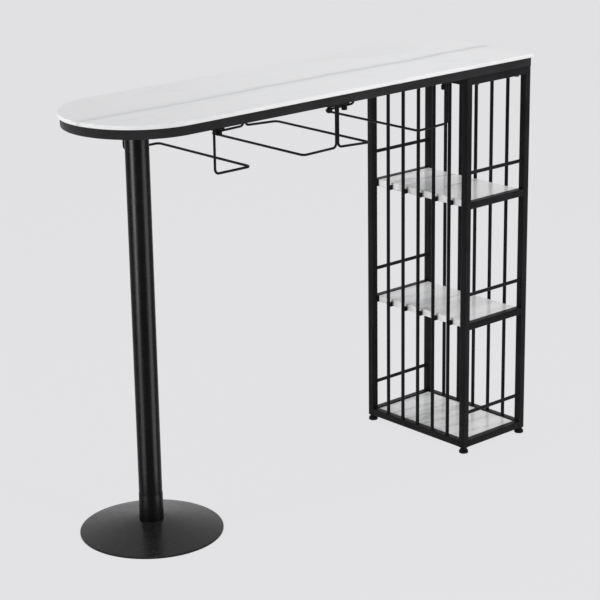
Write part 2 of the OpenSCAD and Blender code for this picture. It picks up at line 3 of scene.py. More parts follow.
import bmesh
import bpy
import numpy as np
from mathutils import Matrix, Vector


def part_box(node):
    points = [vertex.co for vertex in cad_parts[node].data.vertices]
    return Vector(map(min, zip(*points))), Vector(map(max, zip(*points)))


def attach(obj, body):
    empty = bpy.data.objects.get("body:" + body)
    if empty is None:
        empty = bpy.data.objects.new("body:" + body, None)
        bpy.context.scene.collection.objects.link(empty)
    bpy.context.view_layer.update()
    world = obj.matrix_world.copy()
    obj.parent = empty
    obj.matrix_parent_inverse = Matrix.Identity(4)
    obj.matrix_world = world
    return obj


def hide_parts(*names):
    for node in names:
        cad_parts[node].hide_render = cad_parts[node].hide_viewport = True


# A bar table: a marble top with a round end lies on a rim of steel tube. A column on a
# weighted base carries the round end, and a tower of three marble shelves carries the
# square end. Wire racks hang under the rim between them. Lengths are in metres, +X runs
# toward the tower, +Y toward the back and +Z up.
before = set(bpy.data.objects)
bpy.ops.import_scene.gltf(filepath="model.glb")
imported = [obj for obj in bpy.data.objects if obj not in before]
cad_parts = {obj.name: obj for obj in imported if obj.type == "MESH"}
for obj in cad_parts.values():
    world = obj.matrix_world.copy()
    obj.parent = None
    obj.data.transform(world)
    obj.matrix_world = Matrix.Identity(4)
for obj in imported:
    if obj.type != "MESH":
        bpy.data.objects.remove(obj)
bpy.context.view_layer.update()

MM = 0.001


# ---- Base cover
# A steel disc spun to a shallow dome with an upright lip, sprayed with satin black
# powder. It lies loose over the cast iron weight, and the column's collar rests on it.

def eased(points, radii, steps, closed=False):
    """A line through the given corners, with an arc of steps points at each one. The arc's
    centre lies on the corner's bisector at radius / sin(half the corner's angle), and
    its points are spaced evenly in angle. Works in two and in three dimensions."""
    corners = np.asarray(points, float)
    radii = np.broadcast_to(np.asarray(radii, float), len(corners)).copy()
    if not closed:
        radii[[0, -1]] = 0
    back = np.roll(corners, 1, 0) - corners
    ahead = np.roll(corners, -1, 0) - corners
    if not closed:
        back[0], ahead[-1] = -ahead[0], -back[-1]
    back /= np.linalg.norm(back, axis=1)[:, None]
    ahead /= np.linalg.norm(ahead, axis=1)[:, None]
    half = np.arccos(np.clip((back * ahead).sum(1), -1, 1)) / 2
    turn = np.pi - 2 * half
    bends = (radii > 0) & (turn > 1e-6)
    share = np.linspace(0, 1, steps)[None, :, None]
    line = np.repeat(corners[:, None, :], steps, 1)
    r, h, t = radii[bends, None], half[bends, None], turn[bends, None, None]
    corner, u, v = corners[bends], back[bends], ahead[bends]
    middle = u + v
    centre = corner + middle / np.linalg.norm(middle, axis=1)[:, None] * r / np.sin(h)
    start = (corner + u * r / np.tan(h) - centre)[:, None, :]
    end = (corner + v * r / np.tan(h) - centre)[:, None, :]
    line[bends] = centre[:, None, :] + (
        np.sin((1 - share) * t) * start + np.sin(share * t) * end) / np.sin(t)
    line = line.reshape(-1, corners.shape[1])
    moved = np.linalg.norm(line - np.roll(line, 1, 0), axis=1) > 1e-9
    if not closed:
        moved[0] = True
    return line[moved]


def turned(profile, x=0.0, y=0.0, points=96, lobes=None):
    """Rings of a turned surface: each profile point (radius, height) goes round the
    upright axis at x, y. With lobes, an array over the angle scales the radii."""
    angle = np.linspace(0, 2 * np.pi, points, endpoint=False)
    scale = np.ones((1, points)) if lobes is None else lobes(angle)
    radius = np.asarray(profile)[:, :1] * scale
    height = np.broadcast_to(np.asarray(profile)[:, 1:2], radius.shape)
    return np.stack([x + radius * np.cos(angle), y + radius * np.sin(angle), height], -1)


def skin(rings, closed=False):
    """Points, face corners and face sizes of a stack of rings, an array of the shape
    (rings, points, 3). Four-sided faces join neighbouring rings. The first and the last
    ring are filled with one flat face each, or joined to each other if closed."""
    count, points = rings.shape[:2]
    number = np.arange(count * points).reshape(count, points)
    lower = number if closed else number[:-1]
    upper = np.roll(number, -1, 0) if closed else number[1:]
    quads = np.stack([lower, np.roll(lower, -1, 1), np.roll(upper, -1, 1), upper], -1)
    corners, sizes = quads.reshape(-1), np.full(lower.size, 4)
    if not closed:
        corners = np.concatenate([corners, number[0, ::-1], number[-1]])
        sizes = np.concatenate([sizes, [points, points]])
    return rings.reshape(-1, 3), corners, sizes


sharp_edge = math.radians(32)


def add_piece(name, material, skins):
    """Makes one object of the skins, with smooth faces that break at edges bent by more
    than sharp_edge, and with every face turned outward."""
    shift = np.cumsum([0] + [len(points) for points, _, _ in skins[:-1]])
    points = np.concatenate([points for points, _, _ in skins])
    corners = np.concatenate([c + s for (_, c, _), s in zip(skins, shift)])
    sizes = np.concatenate([sizes for _, _, sizes in skins])
    mesh = bpy.data.meshes.new(name)
    mesh.vertices.add(len(points))
    mesh.vertices.foreach_set("co", points.astype(np.float32).ravel())
    mesh.loops.add(len(corners))
    mesh.loops.foreach_set("vertex_index", corners.astype(np.int32))
    mesh.polygons.add(len(sizes))
    mesh.polygons.foreach_set("loop_start", (np.cumsum(sizes) - sizes).astype(np.int32))
    mesh.update(calc_edges=True)
    faces = bmesh.new()
    faces.from_mesh(mesh)
    bmesh.ops.recalc_face_normals(faces, faces=faces.faces)
    faces.to_mesh(mesh)
    faces.free()
    mesh.shade_smooth()
    mesh.set_sharp_from_angle(angle=sharp_edge)
    mesh.materials.append(material)
    made = bpy.data.objects.new(name, mesh)
    bpy.context.scene.collection.objects.link(made)
    return made


def new_shader(name, **sockets):
    """A material with one Principled shader, whose named sockets get the values given."""
    material = bpy.data.materials.new(name)
    material.use_nodes = True
    shader = material.node_tree.nodes["Principled BSDF"]
    for socket, value in sockets.items():
        shader.inputs[socket.replace("_", " ")].default_value = value
    return material, shader


def add_node(tree, kind, sockets=None, **settings):
    """Adds a node. sockets maps an input to a value, or to the output linked to it."""
    node = tree.nodes.new("ShaderNode" + kind)
    for setting, value in settings.items():
        setattr(node, setting, value)
    for socket, value in (sockets or {}).items():
        if isinstance(value, bpy.types.NodeSocket):
            tree.links.new(value, node.inputs[socket])
        else:
            node.inputs[socket].default_value = value
    return node


def noise(tree, scale, detail, rough=0.5, at=None):
    """Noise of that many waves a metre, on Object coordinates unless at is given."""
    if at is None:
        at = add_node(tree, "TexCoord").outputs["Object"]
    return add_node(tree, "TexNoise", {"Vector": at, "Scale": scale, "Detail": detail,
                                       "Roughness": rough}).outputs["Fac"]


def spread(tree, value, low, high, to_low, to_high):
    """Maps value from low..high to to_low..to_high along a smooth step."""
    return add_node(tree, "MapRange", {"Value": value, "From Min": low, "From Max": high,
                                       "To Min": to_low, "To Max": to_high},
                    interpolation_type="SMOOTHSTEP").outputs["Result"]


def uneven(tree, scale, detail, low, high, rough=0.5, at=None):
    """Noise stretched to run from low to high. It seldom leaves 0.3..0.7 of itself, so
    that part fills the range."""
    return spread(tree, noise(tree, scale, detail, rough, at), 0.3, 0.7, low, high)


def blend_colours(tree, factor, first, second):
    """Mixes two colours, each a value or an output."""
    return add_node(tree, "Mix", {"Factor": factor, "A": first, "B": second},
                    data_type="RGBA").outputs["Result"]


def add_bump(tree, shader, height, strength, depth):
    """Bends the shader's normal by a height map that is depth deep at full strength."""
    bump = add_node(tree, "Bump", {"Height": height, "Strength": strength, "Distance": depth})
    tree.links.new(bump.outputs["Normal"], shader.inputs["Normal"])


dust_grey = (0.22, 0.22, 0.21, 1)


def powder_coat(name, dark, light, smooth, dull, peel, gloss, speck=0.0):
    """Sprayed and baked powder: a colour between dark and light in wide soft clouds, a
    roughness between smooth and dull, and a fine orange peel in the bump. peel and gloss
    are the strengths of the peel and the shine, and speck adds light specks of dust."""
    material, shader = new_shader(name, Specular_IOR_Level=gloss)
    tree = material.node_tree
    colour = blend_colours(tree, uneven(tree, 7, 4, 0, 1, 0.6), (*dark, 1), (*light, 1))
    if speck:
        dust = spread(tree, noise(tree, 210, 2, 0.6), 0.73 - speck, 0.77, 0, 0.5)
        colour = blend_colours(tree, dust, colour, dust_grey)
    tree.links.new(colour, shader.inputs["Base Color"])
    tree.links.new(uneven(tree, 40, 5, smooth, dull, 0.65), shader.inputs["Roughness"])
    add_bump(tree, shader, noise(tree, 1100, 2, 0.55), peel, 0.12 * MM)
    return material


def paint_solids(material, *nodes):
    """Gives the named CAD solids that material in place of their own."""
    for node in nodes:
        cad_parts[node].data.materials.clear()
        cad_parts[node].data.materials.append(material)


cover_low, cover_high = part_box("base_cover")
column_x = (cover_low.x + cover_high.x) / 2
cover_r = (cover_high.x - cover_low.x) / 2
collar_low, collar_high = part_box("foot_collar")
cover_t = 1.5 * MM
cover_bore = 30.2 * MM
cover_flat = 40 * MM
cover_edge_z = 6 * MM
cover_crown = 1 * MM
cover_steps = 48
lip_bend = 2.2 * MM
sheet_ease = 0.4 * MM


def cover_slope(inset):
    """Radius and height along the dome's slope: a straight cone with a crown of
    4 crown t (1 - t) on it, t being the share of the way to the edge. Both the edge and
    the slope lie inset further in."""
    t = np.linspace(0, 1, cover_steps)
    radius = cover_flat + (cover_r - inset - cover_flat) * t
    height = cover_high.z - (cover_high.z - cover_edge_z) * t + 4 * cover_crown * t * (1 - t)
    return np.stack([radius, height - inset], 1)


outside = np.concatenate([[[cover_bore, cover_high.z]], cover_slope(0),
                          [[cover_r, cover_low.z]]])
inside = np.concatenate([[[cover_bore, cover_high.z - cover_t]], cover_slope(cover_t),
                         [[cover_r - cover_t, cover_low.z]]])[::-1]
cover_line = np.concatenate([outside, inside])
cover_ease = np.zeros(len(cover_line))
cover_ease[len(outside) - 2] = lip_bend
cover_ease[[0, -1, len(outside) - 1, len(outside)]] = sheet_ease
base_coat = powder_coat("base_powder_coat", (0.005, 0.005, 0.005), (0.010, 0.010, 0.0095),
                        0.20, 0.30, peel=0.25, gloss=0.25, speck=0.04)
base_dome = add_piece("base_dome", base_coat, [
    skin(turned(eased(cover_line, cover_ease, 7, closed=True), column_x, points=256),
         closed=True)])
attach(base_dome, "table")
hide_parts("base_cover")


# ---- Weight and floor ring
# A rough cast iron disc under the cover gives the base its weight. It stands on a ring
# of black rubber that is glued under it, just inside the cover's lip.

cast_iron, shader = new_shader("cast_iron", Metallic=0.6, Roughness=0.75)
tree = cast_iron.node_tree
tree.links.new(blend_colours(tree, uneven(tree, 30, 4, 0, 1), (0.055, 0.054, 0.052, 1),
                             (0.12, 0.115, 0.11, 1)), shader.inputs["Base Color"])
add_bump(tree, shader, noise(tree, 260, 6, 0.65), 0.6, 0.6 * MM)

rubber, shader = new_shader("black_rubber", Specular_IOR_Level=0.3)
tree = rubber.node_tree
tree.links.new(blend_colours(tree, noise(tree, 60, 4), (0.018, 0.018, 0.018, 1),
                             (0.035, 0.035, 0.034, 1)), shader.inputs["Base Color"])
tree.links.new(uneven(tree, 300, 3, 0.7, 0.9), shader.inputs["Roughness"])

paint_solids(cast_iron, "base_weight")
paint_solids(rubber, "base_ring")


# ---- Foot collar
# A tapered steel sleeve slips down over the column and hides the hole in the cover.
# It has a straight foot and a rounded brim, and less orange peel than the column.

collar_bore = 30.2 * MM
collar_foot_r = (collar_high.x - collar_low.x) / 2
collar_brim_r = 30.8 * MM
collar_straight = 3 * MM
collar_corners = [(collar_bore, collar_low.z), (collar_foot_r, collar_low.z),
                  (collar_foot_r, collar_low.z + collar_straight),
                  (collar_brim_r, collar_high.z), (collar_bore, collar_high.z)]
collar_eases = [0.1 * MM, 0.8 * MM, 6 * MM, 0.4 * MM, 0.1 * MM]
collar_line = eased(collar_corners, collar_eases, 8, closed=True)
collar_coat = powder_coat("collar_powder_coat", (0.0012, 0.0012, 0.0014),
                          (0.0022, 0.0022, 0.0025), 0.26, 0.34, peel=0.12, gloss=0.07)
foot_sleeve = add_piece("foot_sleeve", collar_coat, [
    skin(turned(collar_line, column_x, points=128), closed=True)])
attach(foot_sleeve, "table")
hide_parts("foot_collar")


# ---- Column
# A round steel tube from the base weight up to the column plate, satin black. A ring of
# weld joins it to the plate, and a tie rod inside clamps it down on the weight.

def weld_line(radius, low, high, leg, ends=(True, True)):
    """Profile of a round bar from low to high with a hollow weld at its ends: over the
    last leg of its length the radius grows along a quarter circle of that size. ends
    says whether the lower and the upper end are welded."""
    rise = np.linspace(0, 1, 7)
    grown = radius + leg * (1 - np.sqrt(1 - (1 - rise) ** 2))
    foot = np.stack([grown, low + leg * rise], 1)
    head = np.stack([grown, high - leg * rise], 1)[::-1]
    return np.concatenate([foot if ends[0] else [[radius, low]],
                           head if ends[1] else [[radius, high]]])


tube_low, tube_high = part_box("column_tube")
column_r = (tube_high.x - tube_low.x) / 2
column_wall = 2 * MM
column_weld = 4 * MM
column_outside = weld_line(column_r, tube_low.z, tube_high.z, column_weld, (False, True))
column_inside = [[column_r - column_wall, tube_high.z], [column_r - column_wall, tube_low.z]]
column_coat = powder_coat("column_powder_coat", (0.0013, 0.0013, 0.0016),
                          (0.0028, 0.0028, 0.0032), 0.24, 0.32, peel=0.2, gloss=0.065)
column_pipe = add_piece("column_pipe", column_coat, [
    skin(turned(np.concatenate([column_outside, column_inside]), column_x, points=160),
         closed=True)])
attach(column_pipe, "table")
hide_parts("column_tube")


# ---- Tie rod and nuts
# A zinc-plated rod runs through weight, column and plate. A flange nut at each end draws
# them together: one in the weight's recess and one on top of the plate. Nothing shows
# the rod's thread, so it is left plain.

screw_points = 72


def hexagon(angle):
    """Radius of a hexagon over the radius of its inner circle, at each angle."""
    return 1 / np.cos((angle + np.pi / 6) % (np.pi / 3) - np.pi / 6)


def hex_rings(flats, near, far, x, y):
    """Rings of a hexagon that starts at the height near and ends at far, where a 30
    degree cone cuts its corners. The cone starts just inside the inner circle."""
    angle = np.linspace(0, 2 * np.pi, screw_points, endpoint=False)
    reach = flats / 2 * hexagon(angle)
    cone_r = 0.97 * flats / 2
    fall = (reach - cone_r) * math.tan(math.radians(30)) * np.sign(far - near)
    radii = np.stack([reach, reach, np.full(screw_points, cone_r)])
    heights = np.stack([np.full(screw_points, near), far - fall, np.full(screw_points, far)])
    return np.stack([x + radii * np.cos(angle), y + radii * np.sin(angle), heights], -1)


def around(radius, height, x, y):
    """One ring of that radius at that height."""
    return turned([(radius, height)], x, y, screw_points)


bright_zinc, shader = new_shader("bright_zinc", Metallic=1.0)
tree = bright_zinc.node_tree
tree.links.new(blend_colours(tree, noise(tree, 45, 4), (0.50, 0.51, 0.53, 1),
                             (0.66, 0.66, 0.64, 1)), shader.inputs["Base Color"])
tree.links.new(uneven(tree, 400, 3, 0.28, 0.45), shader.inputs["Roughness"])

rod_low, rod_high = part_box("tie_rod")
nut_low, nut_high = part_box("tie_nuts")
rod_r = (rod_high.x - rod_low.x) / 2
nut_total = 10.5 * MM
flange_t = 2.5 * MM
flange_r = 13 * MM
flange_edge = 1.2 * MM
hexagon_start = 1.6 * flange_t
nut_flats = 19 * MM
nut_bore = rod_r + 0.05 * MM
seat_chamfer = 0.6 * MM
top_chamfer = 0.8 * MM


def flange_nut(seat_z, way):
    """Rings of a flange nut that stands up (way 1) or hangs down (way -1) from its seat:
    flange, a cone up to the hexagon, hexagon and bore, with a chamfer at the bore's ends."""
    top_z = seat_z + way * nut_total
    return np.concatenate([
        around(nut_bore + seat_chamfer, seat_z, column_x, 0),
        around(flange_r, seat_z, column_x, 0),
        around(flange_r, seat_z + way * flange_edge, column_x, 0),
        hex_rings(nut_flats, seat_z + way * hexagon_start, top_z, column_x, 0),
        around(nut_bore + top_chamfer, top_z, column_x, 0),
        around(nut_bore, top_z - way * top_chamfer, column_x, 0),
        around(nut_bore, seat_z + way * seat_chamfer, column_x, 0)])


flange_nuts = add_piece("flange_nuts", bright_zinc, [
    skin(flange_nut(nut_high.z - nut_total, 1), closed=True),
    skin(flange_nut(nut_low.z + nut_total, -1), closed=True)])
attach(flange_nuts, "table")
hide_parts("tie_nuts")

rod_chamfer = 1 * MM
rod_end_r = 0.9 * rod_r
threaded_rod = add_piece("threaded_rod", bright_zinc, [
    skin(turned([(rod_end_r, rod_low.z), (rod_r, rod_low.z + rod_chamfer),
                 (rod_r, rod_high.z - rod_chamfer), (rod_end_r, rod_high.z)],
                column_x, points=48))])
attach(threaded_rod, "table")
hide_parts("tie_rod")


# ---- Column plate and its screws
# A square steel plate is welded on the column's upper end. Four blackened hexagon
# screws hold it up against the two cross bars of the rim.

frame_coat = powder_coat("frame_powder_coat", (0.004, 0.004, 0.0045),
                         (0.010, 0.010, 0.011), 0.34, 0.46, peel=0.3, gloss=0.10)
paint_solids(frame_coat, "column_plate")

black_oxide, shader = new_shader("black_oxide", Metallic=0.75)
tree = black_oxide.node_tree
tree.links.new(blend_colours(tree, noise(tree, 90, 4), (0.008, 0.008, 0.009, 1),
                             (0.020, 0.019, 0.019, 1)), shader.inputs["Base Color"])
tree.links.new(uneven(tree, 350, 3, 0.34, 0.5), shader.inputs["Roughness"])

plate_under_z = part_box("column_plate")[0].z
screw_low, screw_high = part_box("plate_screws")
plate_screw_pitch = 60 * MM
plate_screw_r = 4 * MM
plate_screw_flats = 13 * MM
washer_r = 6.2 * MM
washer_t = 0.6 * MM


def plate_screw(x, y):
    """Rings of a hexagon screw that points up: head, washer face and shank."""
    washer_z = plate_under_z - washer_t
    head = hex_rings(plate_screw_flats, washer_z, screw_low.z, x, y)[::-1]
    return np.concatenate([head, around(washer_r, washer_z, x, y),
                           around(washer_r, plate_under_z, x, y),
                           around(plate_screw_r, plate_under_z, x, y),
                           around(plate_screw_r, screw_high.z, x, y)])


hexagon_screws = add_piece("hexagon_screws", black_oxide, [
    skin(plate_screw(column_x + sx * plate_screw_pitch, sy * plate_screw_pitch))
    for sx in (-1, 1) for sy in (-1, 1)])
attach(hexagon_screws, "table")
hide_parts("plate_screws")


# ---- Rim
# One ring of 25 x 20 mm tube follows the top's outline 6 mm inside its edge: two long
# sides, a bent half round at the column and a square end mitred, welded and ground.

tube_width = 20 * MM
tube_wall = 1.5 * MM
tube_corner = 2 * MM
least_corner = 0.4 * MM
round_end_steps = 97


def tube_outline(wide, tall, inset=0.0):
    """Rounded rectangle across a tube, inset from its outer faces, as (across, up) from
    0 to the tube's width and height."""
    return eased([(inset, inset), (wide - inset, inset), (wide - inset, tall - inset),
                  (inset, tall - inset)], max(tube_corner - inset, least_corner), 7,
                 closed=True)


def plan(low_x, high_x, half_y, left_r, right_r, steps):
    """Outline of a plate whose corners have the radius left_r at its left end and
    right_r at its right end, as (x, y) points."""
    return eased([(low_x, -half_y), (high_x, -half_y), (high_x, half_y), (low_x, half_y)],
                 [left_r, right_r, right_r, left_r], steps, closed=True)


rim_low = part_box("rim_bend")[0]
rim_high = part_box("rim_end")[1]


def rim_ring(across, up):
    """The ring that runs round the whole rim at one point of its tube's section."""
    half = rim_high.y - across
    line = plan(rim_low.x + across, rim_high.x - across, half, half, 0, round_end_steps)
    return np.column_stack([line, np.full(len(line), rim_low.z + up)])


rim_rings = np.stack([rim_ring(across, up) for across, up
                      in tube_outline(tube_width, rim_high.z - rim_low.z)])
rim_coat = powder_coat("rim_powder_coat", (0.010, 0.010, 0.0105),
                       (0.018, 0.018, 0.019), 0.34, 0.46, peel=0.3, gloss=0.14)
rim_frame = add_piece("rim_frame", rim_coat, [skin(rim_rings, closed=True)])
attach(rim_frame, "table")
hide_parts("rim_front", "rim_back", "rim_bend", "rim_end")


# ---- Straight square tubes
# The cross bars under the top, the four posts of the tower and its rails are cut from
# the same square tube, butted, welded and ground flush before the powder coat.

corner_names = [f"{depth}_{side}" for depth in ("front", "back")
                for side in ("left", "right")]
straight_tubes = (["column_bar_left", "column_bar_right", "middle_bar", "tower_bar"]
                  + [f"post_{corner}" for corner in corner_names]
                  + [f"{level}_rail_{depth}" for level in ("bottom", "lower", "upper", "top")
                     for depth in ("front", "back")]
                  + [f"{level}_rail_{side}" for level in ("bottom", "top")
                     for side in ("left", "right")])


def square_tube(low, high):
    """Rings of an open square tube that fills the box from low to high: its rounded
    outer section at both ends, then the inner one, joined to a closed skin."""
    low, high = np.array(low), np.array(high)
    along = int(np.argmax(high - low))
    across = [axis for axis in range(3) if axis != along]
    rings = []
    for inset, place in ((0, low), (0, high), (tube_wall, high), (tube_wall, low)):
        section = tube_outline(*(high - low)[across], inset)
        ring = np.empty((len(section), 3))
        ring[:, along] = place[along]
        ring[:, across] = low[across] + section
        rings.append(ring)
    return np.stack(rings)


for node in straight_tubes:
    member = add_piece(f"{node}_tube", frame_coat,
                       [skin(square_tube(*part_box(node)), closed=True)])
    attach(member, "table")
    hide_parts(node)


# ---- Marble top
# One board of white marble, 10 mm thick, with a round left end. Its edges are eased and
# the whole of it is polished, and it is glued on the rim. A grey vein runs down it.

def board(outline_at, low_z, high_z, ease):
    """Rings of a flat board with rounded arrises. outline_at(inset) gives its outline.
    The arrises are quarter circles, and a last ring inside each one keeps the flat
    faces flat."""
    bend = np.linspace(0, np.pi / 2, 6)
    inset = ease * (1 - np.sin(bend))
    rise = ease * (1 - np.cos(bend))
    insets = np.concatenate([[1.8 * ease], inset, inset[::-1], [1.8 * ease]])
    heights = np.concatenate([[low_z], low_z + rise, high_z - rise[::-1], [high_z]])
    return np.stack([np.concatenate([line, np.full((len(line), 1), z)], 1)
                     for line, z in zip(map(outline_at, insets), heights)])


def calc(tree, operation, *values):
    """The result of a Math node on numbers or outputs."""
    return add_node(tree, "Math", dict(enumerate(values)), operation=operation).outputs[0]


cloud_and_shade_grey = (0.50, 0.50, 0.50, 1)
vein_grey = (0.30, 0.305, 0.315, 1)
main_vein_grey = (0.34, 0.345, 0.355, 1)


def marble(name, white, polish, clouds, veins, turn, gloss, main_vein=None):
    """Polished marble on a ground as light as white. Thin grey veins lie where a wide
    warped noise crosses its middle value, and soft grey clouds lie between them. clouds
    and veins are their strengths, polish is the least roughness, and turn is the
    direction of the bedding. main_vein is the Y of one long wavering vein along the
    board, or None. Such a board also gets painted shade that greys it toward its left end."""
    material, shader = new_shader(name, Specular_IOR_Level=gloss)
    tree = material.node_tree
    at = add_node(tree, "TexCoord").outputs["Object"]
    bedding = add_node(tree, "Mapping", {"Vector": at, "Rotation": (0, 0, turn),
                                         "Scale": (0.45, 1.0, 1.0)}).outputs["Vector"]
    warp = add_node(tree, "TexNoise", {"Vector": bedding, "Scale": 4.0,
                                       "Detail": 3.0}).outputs["Color"]
    bent = add_node(tree, "VectorMath", {0: warp, 1: (0.16, 0.16, 0.16), 2: bedding},
                    operation="MULTIPLY_ADD").outputs["Vector"]
    off = calc(tree, "ABSOLUTE", calc(tree, "SUBTRACT", noise(tree, 7.5, 5, at=bent), 0.5))
    broken = spread(tree, noise(tree, 5, 2, at=bent), 0.42, 0.62, 0, 1)
    thin = calc(tree, "MULTIPLY", spread(tree, off, 0.0, 0.035, veins, 0), broken)
    soft = spread(tree, noise(tree, 6, 4, 0.6, bent), 0.45, 0.75, 0, clouds)
    colour = blend_colours(tree, soft, (white, white, white, 1), cloud_and_shade_grey)
    colour = blend_colours(tree, thin, colour, vein_grey)
    if main_vein is not None:
        drawn_out = add_node(tree, "Mapping", {"Vector": at, "Scale": (1.0, 0.25, 0.25)})
        wave = noise(tree, 3.2, 3, 0.45, drawn_out.outputs["Vector"])
        place = add_node(tree, "SeparateXYZ", {0: at}).outputs
        sway = 75 * MM
        off = calc(tree, "MULTIPLY_ADD", wave, -sway, place["Y"])
        off = calc(tree, "ABSOLUTE", calc(tree, "SUBTRACT", off, main_vein - sway / 2))
        core = spread(tree, off, 3 * MM, 14 * MM, 1, 0)
        halo = spread(tree, off, 6 * MM, 36 * MM, 0.32, 0)
        fade = spread(tree, place["X"], -0.7, 0.7, 0.42, 0.48)
        line = calc(tree, "MULTIPLY", calc(tree, "MAXIMUM", core, halo), fade)
        colour = blend_colours(tree, line, colour, main_vein_grey)
        # Painted shade: the colour is mixed toward grey toward the board's left end.
        shade = spread(tree, place["X"], -0.7, 0.1, 0.16, 0)
        colour = blend_colours(tree, shade, colour, cloud_and_shade_grey)
    tree.links.new(colour, shader.inputs["Base Color"])
    tree.links.new(uneven(tree, 18, 3, polish, polish + 0.07, at=at),
                   shader.inputs["Roughness"])
    return material


slab_low, slab_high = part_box("top_slab")
slab_ease = 1 * MM
slab_corner = 2.5 * MM


def slab_outline(inset):
    """Outline of the top, inset from its edge."""
    half = slab_high.y - inset
    return plan(slab_low.x + inset, slab_high.x - inset, half, half,
                slab_corner - inset, round_end_steps)


# Painted shade: the top's white is darker than the shelves', a shaded copy of the same
# marble.
top_marble = marble("top_marble", white=0.725, polish=0.30, clouds=0.12, veins=0.06,
                    turn=0.05, gloss=0.45, main_vein=-22 * MM)
top_board = add_piece("top_board", top_marble, [
    skin(board(slab_outline, slab_low.z, slab_high.z, slab_ease))])
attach(top_board, "table")
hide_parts("top_slab")


# ---- Upright bars and guard rods
# Five 10 mm round bars stand in each side of the tower, and a rod of the same steel
# runs over each shelf at the front and the back. Each end has a small ring of weld.

bar_weld = 2.4 * MM
bar_count = 5
shelf_count = 3

for side in ("left", "right"):
    low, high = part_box(f"bars_{side}")
    bar_r = (high.x - low.x) / 2
    line = weld_line(bar_r, low.z, high.z, bar_weld)
    bar_set = add_piece(f"upright_bars_{side}", frame_coat, [
        skin(turned(line, low.x + bar_r, y, points=32))
        for y in np.linspace(low.y + bar_r, high.y - bar_r, bar_count)])
    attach(bar_set, "table")
    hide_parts(f"bars_{side}")

for depth in ("front", "back"):
    low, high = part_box(f"guard_rods_{depth}")
    guard_r = (high.y - low.y) / 2
    line = weld_line(guard_r, low.x, high.x, bar_weld)
    rods = []
    for z in np.linspace(low.z + guard_r, high.z - guard_r, shelf_count):
        upright = turned(line, points=32)
        rods.append(skin(np.stack([upright[..., 2], low.y + guard_r + upright[..., 0],
                                   z + upright[..., 1]], -1)))
    rod_set = add_piece(f"rods_{depth}", frame_coat, rods)
    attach(rod_set, "table")
    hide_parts(f"guard_rods_{depth}")


# ---- Shelves
# Three boards of the same marble, as deep as the rails, lie between them. Their grounds
# differ in lightness from shelf to shelf: painted light and shade, lightest on the upper
# shelf and darkest on the bottom one. Flat steel bearers welded under the rails carry
# them, and lugs on the upright bars stop them.

shelf_ease = 0.6 * MM
shelf_corner = 1.5 * MM
# Painted light and shade: each shelf's white stands in for the light that reaches it.
for node, turn, white in (("bottom_shelf", 1.25, 0.83), ("lower_shelf", 1.45, 0.91),
                          ("upper_shelf", 1.1, 0.99)):
    low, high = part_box(node)
    stone = marble(f"{node}_marble", white, polish=0.14, clouds=0.42, veins=0.45,
                   turn=turn, gloss=0.9)

    def shelf_outline(inset):
        """Outline of this shelf, inset from its edge."""
        r = shelf_corner - inset
        return plan(low.x + inset, high.x - inset, high.y - inset, r, r, 9)

    shelf = add_piece(f"{node}_board", stone,
                      [skin(board(shelf_outline, low.z, high.z, shelf_ease))])
    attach(shelf, "table")
    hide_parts(node)

paint_solids(frame_coat, "shelf_bearers", "shelf_lugs")


# ---- Tower screws
# Four blackened button head screws with hexagon sockets hold the tower under the rim.
# They come from below, through the front and the back top rail.

tower_low, tower_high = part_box("tower_screws")
head_r = 7 * MM
head_h = 3 * MM
head_top_r = 3.2 * MM
socket_r = 2.5 * MM
socket_depth = 2 * MM
tower_screw_r = 4 * MM
head_seat_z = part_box("top_rail_front")[0].z
tower_screw_y = (tower_high.y - tower_low.y) / 2 - head_r


def button_screw(x, y):
    """Rings of a button head screw that points up: socket, dome, seat and shank. The
    dome follows a quarter ellipse."""
    angle = np.linspace(0, 2 * np.pi, screw_points, endpoint=False)
    socket = socket_r * hexagon(angle)
    walls = np.stack([np.stack([x + socket * np.cos(angle), y + socket * np.sin(angle),
                                np.full(screw_points, tower_low.z + depth)], -1)
                      for depth in (socket_depth, 0.15 * MM)])
    bend = np.linspace(0.12, 1, 8) * np.pi / 2
    dome = np.stack([head_top_r + (head_r - head_top_r) * np.sin(bend),
                     tower_low.z + head_h * (1 - np.cos(bend))], 1)
    return np.concatenate([walls, turned(dome, x, y, screw_points),
                           around(head_r, head_seat_z, x, y),
                           around(tower_screw_r, head_seat_z, x, y),
                           around(tower_screw_r, tower_high.z, x, y)])


button_screws = add_piece("button_screws", black_oxide, [
    skin(button_screw(x, side * tower_screw_y))
    for x in (tower_low.x + head_r, tower_high.x - head_r) for side in (-1, 1)])
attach(button_screws, "table")
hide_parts("tower_screws")


# ---- Racks
# Four glass racks of 6.5 mm round wire hang about 115 mm under the rim. Each is one wire
# bent to a loop with two legs, and in the middle two racks' legs stand side by side.

wire_r = 3.25 * MM
wire_bend = 12 * MM
wire_points = 20
leg_weld = 2.5 * MM
leg_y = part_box("rack_left")[1].y - wire_r


def wire(path):
    """Rings of the round wire along a path. Each ring stands across the path's direction,
    which is taken between a point's two neighbours, and is turned from one fixed slant
    direction that no part of these paths runs along."""
    direction = np.gradient(path, axis=0)
    direction /= np.linalg.norm(direction, axis=1)[:, None]
    across = np.cross(direction, np.ones(3) / math.sqrt(3))
    across /= np.linalg.norm(across, axis=1)[:, None]
    up = np.cross(direction, across)
    angle = np.linspace(0, 2 * np.pi, wire_points, endpoint=False)[None, :, None]
    return path[:, None, :] + wire_r * (np.cos(angle) * across[:, None, :]
                                        + np.sin(angle) * up[:, None, :])


